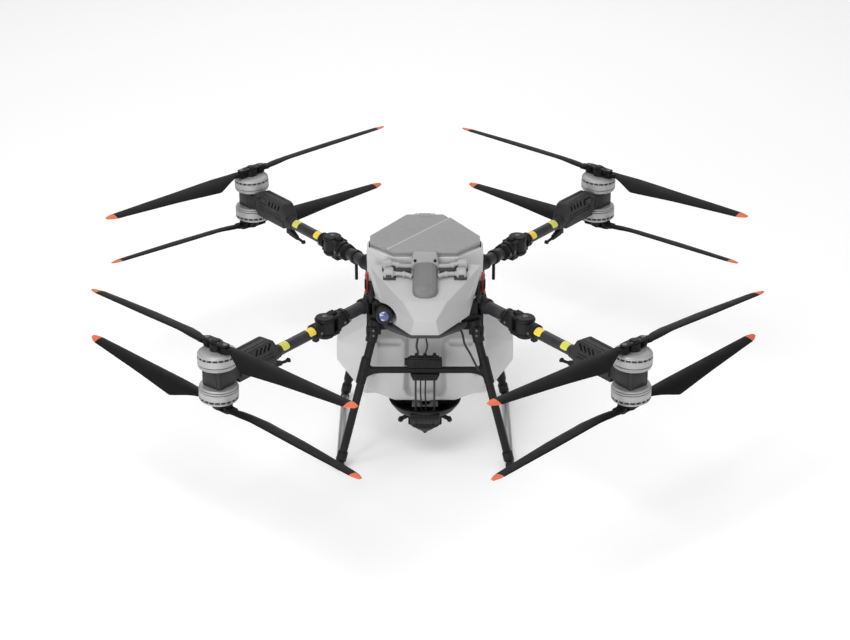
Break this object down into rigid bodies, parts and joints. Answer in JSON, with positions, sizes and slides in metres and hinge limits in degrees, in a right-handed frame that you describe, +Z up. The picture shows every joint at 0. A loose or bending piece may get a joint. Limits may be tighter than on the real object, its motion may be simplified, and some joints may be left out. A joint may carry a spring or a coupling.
{
  "type": "agricultural drone",
  "caption": "Coaxial multirotor farm drone with folding arms and blades, a grey lidded hopper, a granular spreader, tubular legs and skids.",
  "frame": {"origin": "on the ground, under the middle of the four rotor axes", "axes": "+Z up, -Y towards the nose, +X towards the drone's own left"},
  "size_m": [2.4515, 2.5793, 0.775],
  "materials": {
    "blade_carbon": "carbon-filled composite with a satin sheen and orange tips",
    "motor_alloy": "grey anodised, machined vents",
    "dark_housing": "dark moulded housing, fine texture",
    "arm_carbon": "wound carbon tube, satin clear coat",
    "pale_shell": "pale grey moulded shell, fine texture",
    "hopper_plastic": "pale translucent-looking blow-moulded plastic, satin",
    "lid_plastic": "mid grey moulded plastic, matte",
    "capsule_plastic": "grey ribbed radome, matte",
    "skid_alloy": "grey anodised tube, brushed",
    "bare_steel": "brushed",
    "latch_red": "red moulded lever with black grip",
    "black_rubber": "matte",
    "leg_carbon": "black tube, satin",
    "battery_case": "matte case",
    "black_fittings": "black moulded and machined fittings"
  },
  "bodies": {
    "airframe": {"center_frame": "black_fittings", "inner_arm_tubes": "arm_carbon", "fold_brackets": "black_fittings", "nose_cowl": "pale_shell", "chin_tray": "black_fittings", "radar_capsule": "capsule_plastic", "capsule_conduits": "pale_shell", "hopper": "hopper_plastic", "front_leg_frame": "leg_carbon", "rear_legs": "leg_carbon", "skid_tubes": "skid_alloy", "skid_feet": "black_rubber", "control_module": "black_fittings", "spreader_struts": "black_fittings", "spreader_housing": "black_fittings", "camera_bracket": "black_fittings", "antenna_pegs": "black_fittings", "cable_harness": "black_rubber"},
    "front_left_arm": {"front_left_arm": "arm_carbon", "front_left_motor_mount": "dark_housing"},
    "front_left_upper_rotor": {"front_left_upper_rotor": "motor_alloy"},
    "front_left_upper_blade_a": {"front_left_upper_blade_a": "blade_carbon"},
    "front_left_upper_blade_b": {"front_left_upper_blade_b": "blade_carbon"},
    "front_left_lower_rotor": {"front_left_lower_rotor": "motor_alloy"},
    "front_left_lower_blade_a": {"front_left_lower_blade_a": "blade_carbon"},
    "front_left_lower_blade_b": {"front_left_lower_blade_b": "blade_carbon"},
    "front_right_arm": {"front_right_arm": "arm_carbon", "front_right_motor_mount": "dark_housing"},
    "front_right_upper_rotor": {"front_right_upper_rotor": "motor_alloy"},
    "front_right_upper_blade_a": {"front_right_upper_blade_a": "blade_carbon"},
    "front_right_upper_blade_b": {"front_right_upper_blade_b": "blade_carbon"},
    "front_right_lower_rotor": {"front_right_lower_rotor": "motor_alloy"},
    "front_right_lower_blade_a": {"front_right_lower_blade_a": "blade_carbon"},
    "front_right_lower_blade_b": {"front_right_lower_blade_b": "blade_carbon"},
    "rear_left_arm": {"rear_left_arm": "arm_carbon", "rear_left_motor_mount": "dark_housing"},
    "rear_left_upper_rotor": {"rear_left_upper_rotor": "motor_alloy"},
    "rear_left_upper_blade_a": {"rear_left_upper_blade_a": "blade_carbon"},
    "rear_left_upper_blade_b": {"rear_left_upper_blade_b": "blade_carbon"},
    "rear_left_lower_rotor": {"rear_left_lower_rotor": "motor_alloy"},
    "rear_left_lower_blade_a": {"rear_left_lower_blade_a": "blade_carbon"},
    "rear_left_lower_blade_b": {"rear_left_lower_blade_b": "blade_carbon"},
    "rear_right_arm": {"rear_right_arm": "arm_carbon", "rear_right_motor_mount": "dark_housing"},
    "rear_right_upper_rotor": {"rear_right_upper_rotor": "motor_alloy"},
    "rear_right_upper_blade_a": {"rear_right_upper_blade_a": "blade_carbon"},
    "rear_right_upper_blade_b": {"rear_right_upper_blade_b": "blade_carbon"},
    "rear_right_lower_rotor": {"rear_right_lower_rotor": "motor_alloy"},
    "rear_right_lower_blade_a": {"rear_right_lower_blade_a": "blade_carbon"},
    "rear_right_lower_blade_b": {"rear_right_lower_blade_b": "blade_carbon"},
    "lid": {"hopper_lid": "lid_plastic"},
    "left_latch": {"left_hopper_latch": "latch_red"},
    "right_latch": {"right_hopper_latch": "latch_red"},
    "spinner": {"spinner_disc": "bare_steel"},
    "gate": {"metering_gate": "bare_steel"},
    "battery": {"battery": "battery_case"},
    "camera": {"camera_barrel": "black_fittings"}
  },
  "joints": [
    {"name": "front_left_arm_fold", "type": "hinge", "parent": "airframe", "child": "front_left_arm", "pos_m": [0.35213, -0.367, 0.597], "axis": [0, 0, 1], "range_deg": [0, 100]},
    {"name": "front_right_arm_fold", "type": "hinge", "parent": "airframe", "child": "front_right_arm", "pos_m": [-0.35213, -0.367, 0.597], "axis": [0, 0, 1], "range_deg": [-100, 0]},
    {"name": "rear_left_arm_fold", "type": "hinge", "parent": "airframe", "child": "rear_left_arm", "pos_m": [0.35213, 0.367, 0.597], "axis": [0, 0, 1], "range_deg": [-110, 0]},
    {"name": "rear_right_arm_fold", "type": "hinge", "parent": "airframe", "child": "rear_right_arm", "pos_m": [-0.35213, 0.367, 0.597], "axis": [0, 0, 1], "range_deg": [0, 110]},
    {"name": "lid_hinge", "type": "hinge", "parent": "airframe", "child": "lid", "pos_m": [0, 0.25, 0.765], "axis": [-1, 0, 0], "range_deg": [0, 90]},
    {"name": "left_latch_swing", "type": "hinge", "parent": "airframe", "child": "left_latch", "pos_m": [0.2105, -0.084, 0.592], "axis": [0, 1, 0], "range_deg": [0, 70]},
    {"name": "right_latch_swing", "type": "hinge", "parent": "airframe", "child": "right_latch", "pos_m": [-0.2105, -0.084, 0.592], "axis": [0, -1, 0], "range_deg": [0, 70]},
    {"name": "spinner_spin", "type": "hinge", "parent": "airframe", "child": "spinner", "pos_m": [0, -0.122, 0.1], "axis": [0, 0, 1], "continuous": true},
    {"name": "gate_slide", "type": "slide", "parent": "airframe", "child": "gate", "axis": [0, 1, 0], "range_m": [0, 0.056]},
    {"name": "battery_slide", "type": "slide", "parent": "airframe", "child": "battery", "axis": [0, 0, 1], "range_m": [0, 0.25]},
    {"name": "camera_tilt", "type": "hinge", "parent": "airframe", "child": "camera", "pos_m": [-0.145, -0.254, 0.59], "axis": [1, 0, 0], "range_deg": [-25, 25]},
    {"name": "front_left_upper_spin", "type": "hinge", "parent": "front_left_arm", "child": "front_left_upper_rotor", "pos_m": [0.688, -0.8, 0.622], "axis": [0.0241, 0.0187, 0.9995], "continuous": true},
    {"name": "front_left_lower_spin", "type": "hinge", "parent": "front_left_arm", "child": "front_left_lower_rotor", "pos_m": [0.688, -0.8, 0.622], "axis": [-0.0241, -0.0187, 0.9995], "continuous": true},
    {"name": "front_right_upper_spin", "type": "hinge", "parent": "front_right_arm", "child": "front_right_upper_rotor", "pos_m": [-0.688, -0.8, 0.622], "axis": [-0.0241, 0.0187, 0.9995], "continuous": true},
    {"name": "front_right_lower_spin", "type": "hinge", "parent": "front_right_arm", "child": "front_right_lower_rotor", "pos_m": [-0.688, -0.8, 0.622], "axis": [0.0241, -0.0187, 0.9995], "continuous": true},
    {"name": "rear_left_upper_spin", "type": "hinge", "parent": "rear_left_arm", "child": "rear_left_upper_rotor", "pos_m": [0.688, 0.8, 0.622], "axis": [0.0241, -0.0187, 0.9995], "continuous": true},
    {"name": "rear_left_lower_spin", "type": "hinge", "parent": "rear_left_arm", "child": "rear_left_lower_rotor", "pos_m": [0.688, 0.8, 0.622], "axis": [-0.0241, 0.0187, 0.9995], "continuous": true},
    {"name": "rear_right_upper_spin", "type": "hinge", "parent": "rear_right_arm", "child": "rear_right_upper_rotor", "pos_m": [-0.688, 0.8, 0.622], "axis": [-0.0241, -0.0187, 0.9995], "continuous": true},
    {"name": "rear_right_lower_spin", "type": "hinge", "parent": "rear_right_arm", "child": "rear_right_lower_rotor", "pos_m": [-0.688, 0.8, 0.622], "axis": [0.0241, 0.0187, 0.9995], "continuous": true},
    {"name": "front_left_upper_blade_a_fold", "type": "hinge", "parent": "front_left_upper_rotor", "child": "front_left_upper_blade_a", "pos_m": [0.65701, -0.83077, 0.73238], "axis": [0.0241, 0.0187, 0.9995], "range_deg": [-90, 90]},
    {"name": "front_left_upper_blade_b_fold", "type": "hinge", "parent": "front_left_upper_rotor", "child": "front_left_upper_blade_b", "pos_m": [0.72425, -0.76515, 0.72952], "axis": [0.0241, 0.0187, 0.9995], "range_deg": [-90, 90]},
    {"name": "front_left_lower_blade_a_fold", "type": "hinge", "parent": "front_left_lower_rotor", "child": "front_left_lower_blade_a", "pos_m": [0.65759, -0.83135, 0.51163], "axis": [-0.0241, -0.0187, 0.9995], "range_deg": [-90, 90]},
    {"name": "front_left_lower_blade_b_fold", "type": "hinge", "parent": "front_left_lower_rotor", "child": "front_left_lower_blade_b", "pos_m": [0.72367, -0.76457, 0.51447], "axis": [-0.0241, -0.0187, 0.9995], "range_deg": [-90, 90]},
    {"name": "front_right_upper_blade_a_fold", "type": "hinge", "parent": "front_right_upper_rotor", "child": "front_right_upper_blade_a", "pos_m": [-0.65818, -0.83193, 0.73237], "axis": [-0.0241, 0.0187, 0.9995], "range_deg": [-90, 90]},
    {"name": "front_right_upper_blade_b_fold", "type": "hinge", "parent": "front_right_upper_rotor", "child": "front_right_upper_blade_b", "pos_m": [-0.72308, -0.76399, 0.72953], "axis": [-0.0241, 0.0187, 0.9995], "range_deg": [-90, 90]},
    {"name": "front_right_lower_blade_a_fold", "type": "hinge", "parent": "front_right_lower_rotor", "child": "front_right_lower_blade_a", "pos_m": [-0.65695, -0.83071, 0.51162], "axis": [0.0241, -0.0187, 0.9995], "range_deg": [-90, 90]},
    {"name": "front_right_lower_blade_b_fold", "type": "hinge", "parent": "front_right_lower_rotor", "child": "front_right_lower_blade_b", "pos_m": [-0.72431, -0.76521, 0.51448], "axis": [0.0241, -0.0187, 0.9995], "range_deg": [-90, 90]},
    {"name": "rear_left_upper_blade_a_fold", "type": "hinge", "parent": "rear_left_upper_rotor", "child": "rear_left_upper_blade_a", "pos_m": [0.65438, 0.82784, 0.73238], "axis": [0.0241, -0.0187, 0.9995], "range_deg": [-90, 90]},
    {"name": "rear_left_upper_blade_b_fold", "type": "hinge", "parent": "rear_left_upper_rotor", "child": "rear_left_upper_blade_b", "pos_m": [0.72688, 0.76808, 0.72951], "axis": [0.0241, -0.0187, 0.9995], "range_deg": [-90, 90]},
    {"name": "rear_left_lower_blade_a_fold", "type": "hinge", "parent": "rear_left_lower_rotor", "child": "rear_left_lower_blade_a", "pos_m": [0.656, 0.8297, 0.51162], "axis": [-0.0241, 0.0187, 0.9995], "range_deg": [-90, 90]},
    {"name": "rear_left_lower_blade_b_fold", "type": "hinge", "parent": "rear_left_lower_rotor", "child": "rear_left_lower_blade_b", "pos_m": [0.72527, 0.76622, 0.51448], "axis": [-0.0241, 0.0187, 0.9995], "range_deg": [-90, 90]},
    {"name": "rear_right_upper_blade_a_fold", "type": "hinge", "parent": "rear_right_upper_rotor", "child": "rear_right_upper_blade_a", "pos_m": [-0.6555, 0.82915, 0.73238], "axis": [-0.0241, -0.0187, 0.9995], "range_deg": [-90, 90]},
    {"name": "rear_right_upper_blade_b_fold", "type": "hinge", "parent": "rear_right_upper_rotor", "child": "rear_right_upper_blade_b", "pos_m": [-0.72576, 0.76677, 0.72952], "axis": [-0.0241, -0.0187, 0.9995], "range_deg": [-90, 90]},
    {"name": "rear_right_lower_blade_a_fold", "type": "hinge", "parent": "rear_right_lower_rotor", "child": "rear_right_lower_blade_a", "pos_m": [-0.65588, 0.82958, 0.51162], "axis": [0.0241, 0.0187, 0.9995], "range_deg": [-90, 90]},
    {"name": "rear_right_lower_blade_b_fold", "type": "hinge", "parent": "rear_right_lower_rotor", "child": "rear_right_lower_blade_b", "pos_m": [-0.72538, 0.76634, 0.51448], "axis": [0.0241, 0.0187, 0.9995], "range_deg": [-90, 90]}
  ]
}
